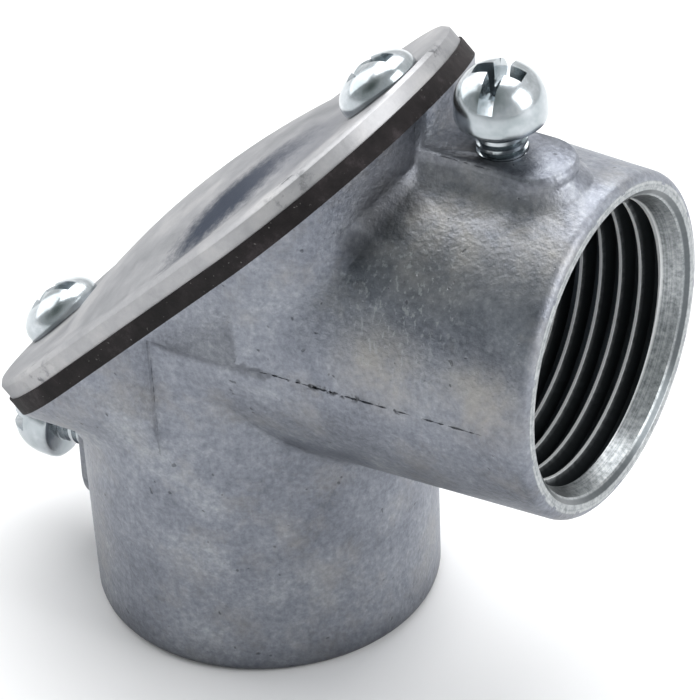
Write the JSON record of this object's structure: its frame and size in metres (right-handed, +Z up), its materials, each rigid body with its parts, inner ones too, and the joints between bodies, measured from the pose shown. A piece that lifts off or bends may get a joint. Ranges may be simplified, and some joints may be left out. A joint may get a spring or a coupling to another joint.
{
  "type": "conduit pulling elbow",
  "caption": "Die-cast right-angle pulling elbow for conduit: threaded hubs with set screws meet under a slanted, gasketed cover plate held by screws.",
  "frame": {"origin": "centre of the lower hub's mouth, where a conduit enters", "axes": "+Z up along the lower hub, +X out along the side hub; the cover's outward normal is between -X and +Z"},
  "size_m": [0.0583, 0.0316, 0.0583],
  "materials": {
    "casting": "as-cast zinc alloy, mottled blue-grey",
    "gasket": "matt black sheet",
    "cover": "pressed steel, satin",
    "screws": "bright clear zinc plating"
  },
  "bodies": {
    "elbow": {"elbow_body": "casting"},
    "cover": {"cover": "cover", "cover_gasket": "gasket"},
    "upper_cover_screw": {"upper_cover_screw": "screws"},
    "lower_cover_screw": {"lower_cover_screw": "screws"},
    "side_hub_set_screw": {"side_hub_set_screw": "screws"},
    "lower_hub_set_screw": {"lower_hub_set_screw": "screws"}
  },
  "joints": [
    {"name": "cover_lift", "type": "slide", "parent": "elbow", "child": "cover", "axis": [-0.7071, 0, 0.7071], "range_m": [0, 0.025]},
    {"name": "upper_cover_screw_travel", "type": "slide", "parent": "cover", "child": "upper_cover_screw", "axis": [-0.7071, 0, 0.7071], "range_m": [0, 0.0065]},
    {"name": "lower_cover_screw_travel", "type": "slide", "parent": "cover", "child": "lower_cover_screw", "axis": [-0.7071, 0, 0.7071], "range_m": [0, 0.0065]},
    {"name": "side_set_screw_travel", "type": "slide", "parent": "elbow", "child": "side_hub_set_screw", "axis": [0, 0, -1], "range_m": [-0.0042, 0.0027]},
    {"name": "lower_set_screw_travel", "type": "slide", "parent": "elbow", "child": "lower_hub_set_screw", "axis": [1, 0, 0], "range_m": [-0.0042, 0.0027]}
  ]
}
